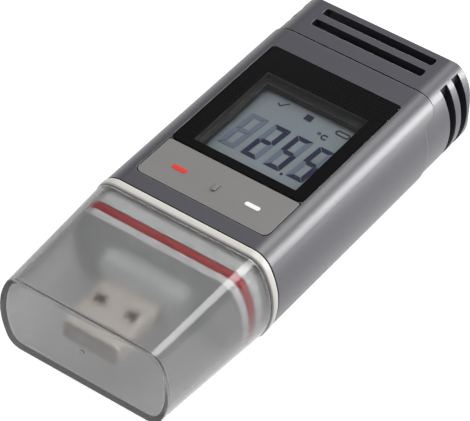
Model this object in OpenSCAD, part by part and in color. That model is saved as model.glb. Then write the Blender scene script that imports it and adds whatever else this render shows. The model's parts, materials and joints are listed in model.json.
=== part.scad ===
// Temperature data logger: a flat housing with a display, a rocker key, a vented
// sensor end, and a plug under a clear cap. Millimetres, +Z up, +Y towards the vents.
// The origin lies under the middle of the whole logger, on the surface it rests on.
// Inside the modules Y is zero at the front end of the housing, and Z is zero at its
// bottom: in_place() moves each piece from there into the frame.

/* [Housing] */
// Width of the housing
body_w = 41; // [40:0.5:46]
// Height of the housing
body_h = 20.2; // [19.8:0.1:23]
// Length of the front shell along its top
body_l = 53.6; // [53:0.5:60]
// Radius of the bulged sides
side_r = 16; // [15:0.5:19]
// Radius of the long corners
corner_r = 4.4; // [3.6:0.1:4.8]
// Wall of the front shell
shell_wall = 2; // [1.8:0.1:2.2]
// Height that the rear cover stands out of the housing
foot_h = 0.3; // [0.25:0.05:0.6]

/* [Vent cover] */
// Length of the vent cover behind the top seam
cover_l = 11.4; // [11:0.1:16]
// Distance that the cover's sides lie inside the housing's
cover_step = 0.3; // [0:0.05:0.4]
// Distance that the cover's skirts reach forward at the sides
skirt_l = 4.3; // [3.8:0.1:5]
// Depth of the skirts' upper edge below the top
skirt_drop = 3.8; // [3.4:0.1:5]
// Wall of the vent cover
cover_wall = 1.8; // [1.5:0.1:2.2]
// Width of one vent slot
slot_w = 2.2; // [1.6:0.1:2.4]
// Distance from one slot to the next
slot_pitch = 3.9; // [3.6:0.1:4.4]
// Number of vent slots
slot_count = 2; // [1:1:2]
// Distance from a slot's end on the top to the cover's side
slot_side = 7.8; // [7:0.1:10]
// Radius of the cover's back corners seen from above
cover_corner_r = 1.6; // [1:0.2:3]
// Radius of the cover's back edges seen from the side
cover_edge_r = 0.6; // [0.4:0.1:1.5]

/* [Plug end] */
// Width of the trim ring along the housing
ring_w = 2.07; // [1.5:0.01:3]
// Height that the trim ring stands out of the housing
ring_proud = 0.15; // [0:0.05:0.2]
// Length of the collar from the trim ring to its lip
collar_l = 7.4; // [6.8:0.1:9]
// Width of the boss round the plug
boss_w = 18; // [16:0.5:22]
// Height of the boss round the plug
boss_h = 8.6; // [7:0.2:9.5]
// Length of the boss in front of the collar
boss_l = 6.5; // [4:0.1:7]
// Thickness of the seal ring's cord
seal_d = 1.9; // [1.6:0.1:2]
// Free length of the plug in front of the boss
plug_l = 11.7; // [11:0.1:12]

/* [Cap] */
// Room in the cap's length past the plug's tip, its wall included
cap_room = 3; // [2.2:0.1:8]
// Step at each side from the housing in to the cap's rim
cap_step_w = 0.1; // [0.05:0.05:0.4]
// Step at top and bottom from the housing in to the cap's rim
cap_step_h = 0.1; // [0.05:0.05:0.25]
// Distance that the cap draws in at each side from its rim to its end
cap_draw_w = 1.7; // [1:0.05:2.5]
// Distance that the cap draws in at top and bottom from its rim to its end
cap_draw_h = 1.4; // [1:0.05:2]
// Wall of the cap
cap_wall = 1.2; // [1:0.05:1.2]

/* [Key] */
// Distance from the front end of the housing to the key
key_y = 3.5; // [3.3:0.1:4]
// Length of the key along the housing
key_l = 11.1; // [10.5:0.1:11.4]
// Thickness of the key
key_t = 1.4; // [1.2:0.1:1.6]
// Distance of each key foot from the key's end
foot_inset = 6.55; // [5.75:0.05:7.75]
// Angle that the key rocks each way, in degrees
key_tilt = 1.6; // [1:0.1:1.8]

/* [Display] */
// Distance from the window to the top seam
window_end_gap = 5.9; // [5.5:0.1:7]
// Thickness of the window
window_t = 1.2; // [1:0.1:1.4]
// Width of the window's black edge at each side
clear_side = 3.3; // [3:0.1:4.5]
// Width of the window's black edge next to the key
clear_front = 2.8; // [2.7:0.1:3.5]
// Width of the window's black edge next to the vents
clear_back = 6.3; // [6.2:0.1:7.5]
// Depth of the display glass below the window's backing
lcd_deep = 2.9; // [2.4:0.1:3.4]
// Height of a digit as a share of the clear length
digit_h_share = 0.427; // [0.33:0.001:0.46]
// Distance from one digit to the next as a share of the clear width
digit_pitch_share = 0.2216; // [0.2:0.0001:0.224]
// Width of a digit as a share of the distance to the next
digit_w_share = 0.702; // [0.52:0.001:0.73]

/* [Inside] */
// Thickness of the circuit board
board_t = 1.6; // [1:0.1:1.6]
// Distance from the coin cell's rim to the rear cover's side edge
cell_side = 2.05; // [2.05:0.05:4]
// Room over the coin cell for its spring
cell_head = 1.8; // [1.8:0.1:3]
// Distance from the battery door to the rear cover's side edge
door_side = 1; // [0.8:0.05:1.1]

/* [Hidden] */
$fn = 96;

// Overrun of every cut, and the thickness of a slice that a hull runs between
over = 1;
slice = 0.01;
// Gap of a joint line, in front of the vent cover, round the key, of a piece that fits
// in another, and of a turning fit
seam_gap = 0.2;
cover_gap = 0.35;
key_gap = 0.2;
fit_gap = 0.1;
run_gap = 0.05;
// Steps in a turn that is drawn point by point
turn_steps = 7;

// Whole logger
cap_gate_r = 0.9;
cap_gate_h = 0.15;
cap_l = collar_l + boss_l + plug_l + cap_room;
cap_rim_w = body_w - 2 * cap_step_w;
cap_rim_h = body_h - 2 * cap_step_h;
cap_end_w = cap_rim_w - 2 * cap_draw_w;
cap_end_h = cap_rim_h - 2 * cap_draw_h;
total_l = cap_gate_h + cap_l + ring_w + body_l + cover_l;
front_y = cap_gate_h + cap_l + ring_w - total_l / 2;
mid_z = body_h / 2;
cover_y = body_l;
back_y = body_l + cover_l;

// Lap joint between the front shell and the vent cover
lip_l = 3.6;
lip_inset = 1.05;
skirt_r_share = 0.44;
skirt_low_r = skirt_l * skirt_r_share;
skirt_high_r = skirt_l - skirt_low_r;
skirt_z = body_h - skirt_drop;
slot_end_r = 0.6;
slot_top_l = body_w - 2 * slot_side;
slot_side_inset = 3.4;
slot_span = (slot_count - 1) * slot_pitch + slot_w;
slot_shift = 0.85;
slot_first_y = cover_y + (cover_l - slot_span) / 2 + slot_shift;
cover_back_wall = 1.7;

// Key and window recesses, which reach a little past the flat of the top
flat_spare = 0.15;
recess_w = 2 * flat_half(body_w / 2, body_h / 2, side_r, corner_r) + 2 * flat_spare;
key_w = recess_w - 2 * key_gap;
window_w = recess_w - 2 * run_gap;
key_end_y = key_y + key_l;
window_y = key_end_y + fit_gap;
window_end_y = body_l - window_end_gap;
window_l = window_end_y - window_y;
key_corner_r = 1.3;
key_floor_z = body_h - key_t - key_w / 2 * sin(key_tilt) - fit_gap;
window_corner_r = 0.9;
clear_corner_r = 0.25;
mask_t = 0.2;
recess_floor_z = body_h - window_t - mask_t;

// Rocker key: rib, pivot pins, feet, marks and nib
pin_r = 0.6;
pin_l = 1.4;
pin_drop = 1.4;
pin_z = body_h - key_t - pin_drop;
rib_w = 2.2;
rib_gap = 0.5;
ear_w = 4.4;
ear_t = 1.7;
ear_deep = 1.5;
foot_x = key_w / 2 - foot_inset;
foot_r = 1.2;
foot_l = 0.8;
mark_w = 3.2;
mark_l = 1.05;
mark_t = 0.5;
mark_proud = 0.05;
mark_out = 0.1;
mark_x = foot_x + mark_out;
mark_y_share = 0.464;
mark_y = key_y + key_l * mark_y_share;
mark_r = 0.45;
nib_w = 0.8;
nib_l = 2.2;
nib_h = 0.25;

// Circuit board with what stands on it
plug_rise = 0.4;
plug_z = mid_z + plug_rise;
board_z = plug_z - board_t / 2;
board_top = board_z + board_t;
board_side = 2.9;
board_w = body_w - 2 * board_side;
board_y = 2.2;
board_gap = 0.8;
bulkhead_t = 1.5;
bulkhead_inset = 2.4;
bulkhead_y = body_l - bulkhead_inset;
board_end_y = bulkhead_y - board_gap;
board_corner_r = 1.5;

// Display stack
lcd_top = recess_floor_z - lcd_deep;
lcd_rise = lcd_top - board_top;
glass_share = 0.24;
glass_t = lcd_rise * glass_share;
reflector_share = 0.065;
reflector_t = lcd_rise * reflector_share;
segment_t = 0.08;
frame_side = 1.7;
frame_end_gap = 1.2;
frame_back_gap = 1.4;
frame_low = 0.1;
frame_w = window_w - 2 * frame_side;
frame_wall = 1;
frame_y = window_y + frame_end_gap;
frame_l = window_l - frame_end_gap - frame_back_gap;
frame_top = recess_floor_z - frame_low;
clear_w = window_w - 2 * clear_side;
clear_y = window_y + clear_front;
clear_l = window_l - clear_front - clear_back;
frame_step_side = 0.8;
frame_step_w = clear_w - 2 * frame_step_side;
frame_step_inset = 1.35;
frame_step_share = 0.483;
frame_step_z = lcd_top + lcd_deep * frame_step_share;
glass_w = frame_w - 2 * frame_wall - 2 * fit_gap;
glass_y = frame_y + frame_wall + fit_gap;
glass_l = frame_l - 2 * frame_wall - 2 * fit_gap;
zebra_w = 1.8;
zebra_inset = 0.6;
rear_glass_inset = 2.9;

// Digits, as shares of the clear part of the window
digit_count = 4;
digit_pitch = clear_w * digit_pitch_share;
digit_w = digit_pitch * digit_w_share;
digit_h = clear_l * digit_h_share;
digit_x_share = -0.4166;
digit_x = clear_w * digit_x_share;
digit_y_share = 0.2134;
digit_y = clear_y + clear_l * digit_y_share;
digit_slant_share = 0.0784;
digit_slant = digit_h * digit_slant_share;
segment_w_share = 0.288;
segment_w = digit_w * segment_w_share;
segment_gap_share = 0.1;
segment_gap = segment_w * segment_gap_share;
// Segments that are lit in each place: blank, 2, 5 and 5
lit_segments = [[], [0, 1, 3, 4, 6], [0, 2, 3, 5, 6], [0, 2, 3, 5, 6]];

// Small signs over the digits, in the same shares
sign_y_share = 0.856;
sign_y = clear_y + clear_l * sign_y_share;
sign_w_share = 0.067;
sign_w = clear_w * sign_w_share;
square_x_share = 0.0145;
square_x = clear_w * square_x_share;
unit_y_share = 0.743;
unit_y = clear_y + clear_l * unit_y_share;
unit_x_share = 0.247;
unit_x = clear_w * unit_x_share;
unit_r_share = 0.46;
unit_r = sign_w * unit_r_share;
unit_line_share = 0.16;
unit_line = sign_w * unit_line_share;
degree_r_share = 0.22;
degree_r = sign_w * degree_r_share;
tick_x_share = -0.261;
tick_x = clear_w * tick_x_share;
tick_shares = [[0, 0.1], [0.85, 1.15], [0.78, 1.22], [0, 0.3], [-0.42, 0.6], [-0.5, 0.5]];
pill_x_share = 0.349;
pill_x = clear_w * pill_x_share;
pill_w_share = 0.136;
pill_w = clear_w * pill_w_share;
pill_l_share = 0.857;
pill_l = sign_w * pill_l_share;
point_share = 0.5;
point_w = segment_w * point_share;
point_x = digit_x + (digit_count - 1) * digit_pitch - (digit_pitch - digit_w) / 2;

// Parts soldered to the board; their heights keep under the display
switch_w = 6;
switch_h = 3.5;
switch_y = mark_y;
plunger_r = 1.75;
plunger_flange_r = 2.2;
plunger_flange_t = 0.6;
plunger_room = 0.5;
plunger_gap = 0.1;
plunger_top = body_h - key_t - foot_l - plunger_gap;
switch_lid_t = 0.4;
controller_w = 7;
controller_h_share = 0.217;
controller_h = lcd_rise * controller_h_share;
controller_y_share = 0.565;
controller_y = clear_y + clear_l * controller_y_share;
memory_w = 5;
memory_l = 4;
memory_h_share = 0.196;
memory_h = lcd_rise * memory_h_share;
memory_x_share = 0.302;
memory_x = clear_w * memory_x_share;
memory_y_share = 0.272;
memory_y = clear_y + clear_l * memory_y_share;
crystal_w = 1.6;
crystal_l = 4;
crystal_h = memory_h;
crystal_x = -memory_x;
crystal_y = controller_y;
chip_part_w = 1.6;
chip_part_l = 0.8;
chip_part_h_share = 0.13;
chip_part_h = lcd_rise * chip_part_h_share;
chip_part_pitch = 2.6;
capacitor_count = 5;
resistor_count = 6;
capacitor_y_share = 0.25;
capacitor_y = clear_y + clear_l * capacitor_y_share;
resistor_y_share = 0.86;
resistor_y = clear_y + clear_l * resistor_y_share;

// Shell posts that carry the board, and bosses that the rear cover screws into
plate_side = 0.46;
plate_w = recess_w - 2 * plate_side;
plate_y = 2.4;
plate_end_gap = 5.2;
plate_l = body_l - plate_end_gap - plate_y;
plate_r = 2.2;
post_side = 2.2;
post_x = board_w / 2 - post_side;
post_r = 1.8;
post_in = 3.5;
post_back_in = 4.8;
post_ys = [key_y + post_in, window_end_y - post_back_in];
screw_r = 0.8;
screw_head_r = 1.5;
screw_head_h = 1;
screw_grip = 4.5;
boss_side = 2.1;
boss_x = plate_w / 2 - boss_side;
boss_r = 2;
boss_in = 2.8;
boss_back_in = 3.1;
boss_ys = [plate_y + boss_in, plate_y + plate_l - boss_back_in];
rib_t = 1.6;
boss_gap = 0.3;
boss_top = board_z - screw_head_h - boss_gap;

// Rear cover and battery door
plate_t = shell_wall + foot_h;
plate_top = plate_t - foot_h;
door_d = plate_w - 2 * door_side;
door_y_share = 0.513;
door_y = plate_y + plate_l * door_y_share;
door_t = 1.2;
door_lift = 0.1;
door_floor = door_lift - foot_h;
door_step = 0.8;
door_neck_r = door_d / 2 - door_step;
door_seal_t = 0.25;
door_seal_w = 0.5;
door_shelf_z = door_floor + door_t + door_seal_t + run_gap;
lug_reach = 1;
lug_t = 0.6;
lug_count = 3;
lug_angle = 24;
lug_turn = 40;
lug_spare = 1;
lug_z = plate_top + run_gap;
coin_slot_w = 1.6;
coin_slot_share = 0.564;
coin_slot_l = door_d * coin_slot_share;
coin_slot_deep = 0.7;
door_dot_r = 0.8;
door_dot_deep = 0.4;

// Battery under the board
cell_gap = 0.25;
cell_z = lug_z + lug_t + cell_gap;
cell_top = board_z - cell_head;
cell_d = plate_w - 2 * cell_side;
cell_rim_r = cell_d / 2;
cell_step_h = 0.4;
cell_step_w = 1.6;
cell_step_r = cell_rim_r - cell_step_w;
holder_wall = 1.3;
holder_r = cell_rim_r + fit_gap + holder_wall;
holder_roof_t = 1.2;
holder_roof_z = board_z - holder_roof_t;
holder_z = cell_z + fit_gap;
clip_w = 5;
clip_t = 0.3;
clip_rise = 0.6;
clip_z = cell_z + clip_rise;
spring_w = 4;
spring_share = 0.571;
spring_l = cell_d * spring_share;
spring_t = 0.3;

// Sensor end
sensor_r = 1.5;
sensor_l = 4;
sensor_gap = 3.2;
sensor_y = bulkhead_y + bulkhead_t + sensor_gap;
lead_r = 0.25;
lead_x = 0.7;
lead_z = board_top + lead_r;
lead_grip = 2.4;
lead_start_y = board_end_y - lead_grip;

// Collar, ring and plug
collar_gap = 0.14;
ring_wall_inset = shell_wall;
collar_front_y = -ring_w - collar_l;
collar_wall = 1.5;
collar_spigot_l = 1.6;
cap_rim_y = -ring_w - seam_gap;
cap_end_y = -ring_w - cap_l;
cap_taper_w = (cap_rim_w - cap_end_w) / (2 * cap_l);
cap_taper_h = (cap_rim_h - cap_end_h) / (2 * cap_l);
cap_end_side_share = 0.94;
cap_end_side_r = side_r * cap_end_side_share;
cap_end_corner_share = 0.8;
cap_end_corner_r = corner_r * cap_end_corner_share;
cap_edge_r = 0.45;
cap_edge_steps = 3;
inner_corner_r = corner_r - cap_wall;
collar_half_w = cap_rim_w / 2 - cap_wall - cap_taper_w * collar_l - collar_gap;
collar_half_h = cap_rim_h / 2 - cap_wall - cap_taper_h * collar_l - collar_gap;
seal_share = 0.6216;
seal_y = -ring_w - collar_l * seal_share;
seal_half_w = cap_rim_w / 2 - cap_wall + cap_taper_w * (seal_y + ring_w) - fit_gap;
seal_half_h = cap_rim_h / 2 - cap_wall + cap_taper_h * (seal_y + ring_w) - fit_gap;
seal_steps = 6;
seal_sides = 12;
groove_w = seal_d + 2 * fit_gap;
boss_front_y = collar_front_y - boss_l;
boss_corner_r = 1.4;
boss_chamfer = 2.1;
boss_chamfer_h = 1.6;
plug_w = 12;
plug_h = 4.5;
plug_wall = 0.3;
plug_corner_r = 0.5;
plug_tip_y = boss_front_y - plug_l;
plug_back_gap = 0.6;
plug_back_y = board_y - plug_back_gap;
latch_w = 2.5;
latch_x = 3.5;
latch_front = 5.4;
tongue_t = 1.9;
tongue_short = 0.8;
tongue_w = plug_w - 2 * plug_wall - 2 * fit_gap;
contact_w = 1;
contact_t = 0.2;
contact_xs = [-3.5, -1, 1, 3.5];
contact_short = 2;
contact_foot = 2.5;
contact_end_y = board_y + contact_foot;

// Half the flat of a section whose sides bulge with radius sr and whose corners have
// radius cr: the corner's centre lies where the corner circle touches the side circle
function flat_half(hw, hh, sr, cr) =
    let (rise = hh - cr, reach = sr - cr) (hw - sr) + sqrt(reach * reach - rise * rise);

// The housing's cross-section: flat top and bottom, bulged sides, round corners
module section(hw, hh, sr, cr) {
    flat_x = flat_half(hw, hh, sr, cr);
    touch_z = (hh - cr) * sr / (sr - cr);
    union() {
        square([2 * flat_x, 2 * hh], center = true);
        for (sx = [-1, 1], sz = [-1, 1])
            translate([sx * flat_x, sz * (hh - cr)])
                circle(cr);
        for (s = [-1, 1])
            intersection() {
                translate([s * hw / 2, 0])
                    square([hw, 2 * touch_z], center = true);
                translate([s * (hw - sr), 0])
                    circle(sr);
            }
    }
}

// A rectangle with round corners, about its middle
module round_rect(w, l, r) {
    union() {
        square([w - 2 * r, l], center = true);
        square([w, l - 2 * r], center = true);
        for (sx = [-1, 1], sy = [-1, 1])
            translate([sx * (w / 2 - r), sy * (l / 2 - r)])
                circle(r);
    }
}

// Points of a quarter turn or any other stretch of a circle
function turn_points(cx, cy, r, from_a, to_a) =
    [for (i = [0 : turn_steps])
        let (a = from_a + (to_a - from_a) * i / turn_steps)
        [cx + r * cos(a), cy + r * sin(a)]];

// An outline from zero to l whose two far corners are round
module far_round(w, l, r) {
    polygon(concat(
        [[-w / 2, 0], [w / 2, 0]],
        turn_points(w / 2 - r, l - r, r, 0, 90),
        turn_points(r - w / 2, l - r, r, 90, 180)
    ));
}

// Move a piece from the housing's own zero into the frame
module in_place() {
    translate([0, front_y, foot_h])
        children();
}

// Extrude an outline drawn in X and Z along Y, from y0 to y1
module along_y(y0, y1) {
    translate([0, y1, 0])
        rotate([90, 0, 0])
            linear_extrude(y1 - y0)
                children();
}

// Extrude an outline drawn in Y and Z across the whole width
module across_x(w) {
    rotate([90, 0, 90])
        linear_extrude(w, center = true)
            children();
}

// A stretch of the housing's section, drawn in by inset all round
module body_stretch(y0, y1, inset) {
    along_y(y0, y1)
        translate([0, mid_z])
            section(body_w / 2 - inset, body_h / 2 - inset, side_r - inset, corner_r - inset);
}

// A stretch of the section with its own half width, half height and corner radius
module free_stretch(y0, y1, hw, hh, cr) {
    along_y(y0, y1)
        translate([0, mid_z])
            section(hw, hh, side_r - (body_w / 2 - hw), cr);
}

// A box between two corners
module block(low, high) {
    translate(low)
        cube(high - low);
}

// A plate with round corners: middle in X, start and length in Y, two heights
module plate(w, y, l, z0, z1, r) {
    translate([0, y + l / 2, z0])
        linear_extrude(z1 - z0)
            round_rect(w, l, r);
}

// An upright rod
module rod(x, y, z0, z1, r) {
    translate([x, y, z0])
        cylinder(h = z1 - z0, r = r);
}

// What belongs to the vent cover, drawn in Y and Z: all behind the top seam, and the
// skirts, whose upper edge swings forward in two quarter turns
module cover_side() {
    skirt_y = cover_y - skirt_l;
    polygon(concat(
        [[back_y + over, -over], [skirt_y, -over]],
        turn_points(skirt_y + skirt_low_r, skirt_z - skirt_low_r, skirt_low_r, 180, 90),
        turn_points(cover_y - skirt_high_r, skirt_z + skirt_high_r, skirt_high_r, 270, 360),
        [[cover_y, body_h + over], [back_y + over, body_h + over]]
    ));
}

// Front shell

module shell_ribs() {
    for (sx = [-1, 1]) {
        for (y = post_ys)
            rod(sx * post_x, y, board_top, body_h, post_r);
        for (y = boss_ys) {
            rod(sx * boss_x, y, plate_top, boss_top, boss_r);
            translate([sx * (boss_x + body_w / 2) / 2, y, (plate_top + boss_top) / 2])
                cube([body_w / 2 - boss_x, rib_t, boss_top - plate_top], center = true);
        }
    }
    block([-ear_w / 2, key_y - ear_t, pin_z - ear_deep], [ear_w / 2, key_y, body_h]);
    block([-body_w / 2, key_end_y - ear_t / 2, pin_z - ear_deep],
          [body_w / 2, frame_y - fit_gap, recess_floor_z]);
}

module shell_top_cuts() {
    plate(recess_w, key_y, key_l - ear_t / 2, body_h - shell_wall - rib_gap, body_h + over,
          key_corner_r);
    block([-recess_w / 2, key_y + key_l / 2, key_floor_z],
          [recess_w / 2, key_end_y, body_h + over]);
    plate(recess_w, window_y - fit_gap, window_l + 2 * fit_gap, recess_floor_z, body_h + over,
          window_corner_r);
    plate(frame_w + 2 * fit_gap, frame_y - fit_gap, frame_l + 2 * fit_gap, board_top,
          body_h + over, window_corner_r);
}

module front_shell() {
    color("dimgray")
        in_place()
            difference() {
                union() {
                    difference() {
                        body_stretch(0, body_l, 0);
                        translate([0, -cover_gap, cover_gap])
                            across_x(body_w + 2 * over)
                                cover_side();
                        body_stretch(-over, body_l + over, shell_wall);
                    }
                    difference() {
                        body_stretch(body_l - skirt_l - shell_wall, body_l - skirt_l + lip_l,
                                     lip_inset);
                        body_stretch(-over, body_l + over, shell_wall);
                    }
                    intersection() {
                        body_stretch(0, body_l - skirt_l, shell_wall / 2);
                        shell_ribs();
                    }
                }
                shell_top_cuts();
                along_y(key_y - pin_l - run_gap, key_end_y - ear_t / 2 + pin_l + run_gap)
                    translate([0, pin_z])
                        circle(pin_r + run_gap);
                plate(plate_w + 2 * fit_gap, plate_y - fit_gap, plate_l + 2 * fit_gap, -over,
                      shell_wall, plate_r);
                for (sx = [-1, 1]) {
                    for (y = post_ys)
                        rod(sx * post_x, y, board_top - over, board_top + screw_grip, screw_r);
                    for (y = boss_ys)
                        rod(sx * boss_x, y, plate_top - over, plate_top + screw_grip, screw_r);
                }
            }
}

// Vent cover

// The cover's outside: its outlines are a little wider than the section, which they
// cut only at the back
module cover_outside() {
    cover_w = body_w - 2 * cover_step;
    intersection() {
        free_stretch(cover_y - skirt_l - over, back_y, cover_w / 2, body_h / 2, corner_r);
        translate([0, 0, -over])
            linear_extrude(body_h + 2 * over)
                far_round(cover_w + 2 * fit_gap, back_y, cover_corner_r + fit_gap);
        across_x(body_w + over)
            translate([0, mid_z])
                rotate(-90)
                    far_round(body_h + 2 * fit_gap, back_y, cover_edge_r + fit_gap);
    }
}

module cover_hollow() {
    intersection() {
        body_stretch(-over, back_y - cover_back_wall, cover_wall);
        linear_extrude(body_h)
            far_round(body_w + 2 * fit_gap - 2 * cover_wall, back_y - cover_back_wall + slice,
                      max(cover_corner_r - cover_wall, fit_gap));
    }
}

module vent_slots() {
    side_x = body_w / 2 - slot_side_inset;
    for (k = [0 : slot_count - 1]) {
        y = slot_first_y + k * slot_pitch;
        translate([0, y + slot_w / 2, body_h - cover_wall - over])
            linear_extrude(cover_wall + 2 * over)
                round_rect(slot_top_l, slot_w, slot_end_r);
        for (sx = [-1, 1])
            translate([sx * (side_x + body_w / 2 + over) / 2, y + slot_w / 2, mid_z])
                cube([body_w / 2 + over - side_x, slot_w, body_h + 2 * over], center = true);
    }
}

module vent_cover() {
    color("dimgray")
        in_place()
            difference() {
                intersection() {
                    cover_outside();
                    across_x(body_w + 2 * over)
                        cover_side();
                }
                body_stretch(-over, body_l - skirt_l + lip_l + fit_gap, lip_inset - fit_gap);
                cover_hollow();
                vent_slots();
            }
}

// Rear cover with its battery door

module lugs(r, reach, z0, z1, turn, spare) {
    for (k = [0 : lug_count - 1])
        rotate([0, 0, turn + k * 360 / lug_count])
            intersection() {
                rod(0, 0, z0, z1, r + reach);
                linear_extrude(z1 + over)
                    polygon([
                        [0, 0],
                        [2 * r, -2 * r * tan(lug_angle / 2 + spare)],
                        [2 * r, 2 * r * tan(lug_angle / 2 + spare)]
                    ]);
            }
}

module rear_cover() {
    color("dimgray")
        in_place()
            difference() {
                plate(plate_w, plate_y, plate_l, -foot_h, plate_top, plate_r);
                rod(0, door_y, -foot_h - over, door_shelf_z, door_d / 2 + fit_gap);
                rod(0, door_y, -foot_h - over, plate_top + over, door_neck_r + fit_gap);
                translate([0, door_y, 0])
                    lugs(door_neck_r, lug_reach + fit_gap, 0, plate_top + over, -lug_turn,
                         lug_spare);
                for (sx = [-1, 1], y = boss_ys) {
                    rod(sx * boss_x, y, -foot_h - over, plate_top + over, screw_r + fit_gap);
                    rod(sx * boss_x, y, -foot_h - over, -foot_h + screw_head_h + fit_gap,
                        screw_head_r + fit_gap);
                }
            }
}

module battery_door() {
    color("dimgray")
        in_place()
            translate([0, door_y, 0])
                difference() {
                    union() {
                        rod(0, 0, door_floor, door_floor + door_t, door_d / 2);
                        rod(0, 0, door_floor, lug_z + lug_t, door_neck_r);
                        lugs(door_neck_r, lug_reach, lug_z, lug_z + lug_t, 0, 0);
                    }
                    translate([0, 0, door_floor])
                        cube([coin_slot_l, coin_slot_w, 2 * coin_slot_deep], center = true);
                    rod(0, -door_d / 2 + 2 * door_dot_r, door_floor - over,
                        door_floor + door_dot_deep, door_dot_r);
                }
}

module door_seal() {
    color("black")
        in_place()
            translate([0, door_y, 0])
                difference() {
                    rod(0, 0, door_floor + door_t, door_floor + door_t + door_seal_t,
                        door_neck_r + door_seal_w + fit_gap);
                    rod(0, 0, 0, door_floor + door_t + over, door_neck_r);
                }
}

// A screw with its head at z and its shank running up
module screw(x, y, z, length) {
    difference() {
        union() {
            rod(x, y, z, z + screw_head_h, screw_head_r);
            rod(x, y, z, z + length, screw_r - run_gap);
        }
        translate([x, y, z])
            cube([screw_head_r, screw_r / 2, screw_head_h], center = true);
        translate([x, y, z])
            cube([screw_r / 2, screw_head_r, screw_head_h], center = true);
    }
}

module case_screws() {
    color("silver")
        in_place()
            for (sx = [-1, 1], y = boss_ys)
                screw(sx * boss_x, y, -foot_h + fit_gap, plate_t + screw_grip - 3 * fit_gap);
}

// Plug end

module trim_ring() {
    color("white")
        in_place()
            difference() {
                body_stretch(-ring_w, -seam_gap, -ring_proud);
                body_stretch(-ring_w - over, over, ring_wall_inset);
            }
}

module boss_solid() {
    intersection() {
        along_y(boss_front_y, collar_front_y + collar_wall)
            translate([0, plug_z])
                round_rect(boss_w, boss_h, boss_corner_r);
        across_x(boss_w)
            polygon([
                [collar_front_y + collar_wall, plug_z - boss_h / 2],
                [boss_front_y + boss_chamfer, plug_z - boss_h / 2],
                [boss_front_y, plug_z - boss_h / 2 + boss_chamfer_h],
                [boss_front_y, plug_z + boss_h / 2 - boss_chamfer_h],
                [boss_front_y + boss_chamfer, plug_z + boss_h / 2],
                [collar_front_y + collar_wall, plug_z + boss_h / 2]
            ]);
        linear_extrude(body_h)
            polygon([
                [-boss_w / 2, collar_front_y + collar_wall],
                [-boss_w / 2, boss_front_y + boss_chamfer],
                [-boss_w / 2 + boss_chamfer_h, boss_front_y],
                [boss_w / 2 - boss_chamfer_h, boss_front_y],
                [boss_w / 2, boss_front_y + boss_chamfer],
                [boss_w / 2, collar_front_y + collar_wall]
            ]);
    }
}

module plug_collar() {
    color("lightgray")
        in_place()
            difference() {
                union() {
                    free_stretch(collar_front_y, -ring_w, collar_half_w, collar_half_h,
                                 inner_corner_r);
                    body_stretch(-ring_w, collar_spigot_l, shell_wall + fit_gap);
                    boss_solid();
                }
                difference() {
                    body_stretch(seal_y - groove_w / 2, seal_y + groove_w / 2, 0);
                    free_stretch(seal_y - groove_w, seal_y + groove_w,
                                 seal_half_w - seal_d - run_gap,
                                 seal_half_h - seal_d - run_gap,
                                 inner_corner_r - seal_d);
                }
                along_y(collar_front_y + collar_wall, collar_spigot_l + over)
                    translate([0, mid_z])
                        round_rect(2 * (seal_half_w - seal_d - collar_wall),
                                   2 * (seal_half_h - seal_d - collar_wall),
                                   boss_corner_r);
                along_y(boss_front_y - over, over)
                    translate([0, plug_z])
                        round_rect(plug_w + fit_gap, plug_h + fit_gap, plug_corner_r);
            }
}

// Points of an arc with the direction that each faces: [x, z, angle]
function arc_points(cx, cz, r, from_a, to_a, first, last) =
    [for (i = [first : last])
        let (a = from_a + (to_a - from_a) * i / seal_steps)
        [cx + r * cos(a), cz + r * sin(a), a]];

// The middle line of the seal ring's cord: two bulged sides and four corners
function seal_line(hw, hh, sr, cr) =
    let (x = flat_half(hw, hh, sr, cr), z = hh - cr, a = asin((hh - cr) / (sr - cr)),
         n = seal_steps)
    concat(
        arc_points(hw - sr, 0, sr, -a, a, 0, n),
        arc_points(x, z, cr, a, 90, 1, n),
        arc_points(-x, z, cr, 90, 180 - a, 0, n - 1),
        arc_points(sr - hw, 0, sr, 180 - a, 180 + a, 0, n),
        arc_points(-x, -z, cr, 180 + a, 270, 1, n),
        arc_points(x, -z, cr, 270, 360 - a, 0, n - 1)
    );

module seal_ring() {
    hw = seal_half_w - seal_d / 2;
    hh = seal_half_h - seal_d / 2;
    line = seal_line(hw, hh, side_r - (body_w / 2 - hw), inner_corner_r - seal_d / 2);
    n = len(line);
    m = seal_sides;
    points = [for (p = line, j = [0 : m - 1])
        let (b = 360 * j / m, out = seal_d / 2 * cos(b))
        [p.x + out * cos(p.z), seal_d / 2 * sin(b), p.y + out * sin(p.z)]];
    faces = [for (i = [0 : n - 1], j = [0 : m - 1], half = [0, 1])
        let (i2 = (i + 1) % n, j2 = (j + 1) % m)
        half == 0
            ? [i * m + j, i2 * m + j, i2 * m + j2]
            : [i * m + j, i2 * m + j2, i * m + j2]];
    color("firebrick")
        in_place()
            translate([0, seal_y, mid_z])
                polyhedron(points, faces);
}

// The cap's outer form, or its hollow with inset set to the wall: it tapers from the
// rim to the end face, whose edge turns over in a few steps
module cap_form(inset, rim_y) {
    edge_r = cap_edge_r;
    rise = rim_y - cap_rim_y;
    hull() {
        along_y(rim_y - slice, rim_y)
            translate([0, mid_z])
                section(cap_rim_w / 2 - inset + cap_taper_w * rise,
                        cap_rim_h / 2 - inset + cap_taper_h * rise,
                        side_r - inset, corner_r - inset, $fn = 64);
        for (k = [0 : cap_edge_steps]) {
            turn = 90 * k / cap_edge_steps;
            drawn = inset + edge_r * (1 - cos(turn));
            y = cap_end_y + inset + edge_r * (1 - sin(turn));
            along_y(y, y + slice)
                translate([0, mid_z])
                    section(cap_end_w / 2 - drawn, cap_end_h / 2 - drawn,
                            cap_end_side_r, cap_end_corner_r - inset / 2, $fn = 64);
        }
    }
}

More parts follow.
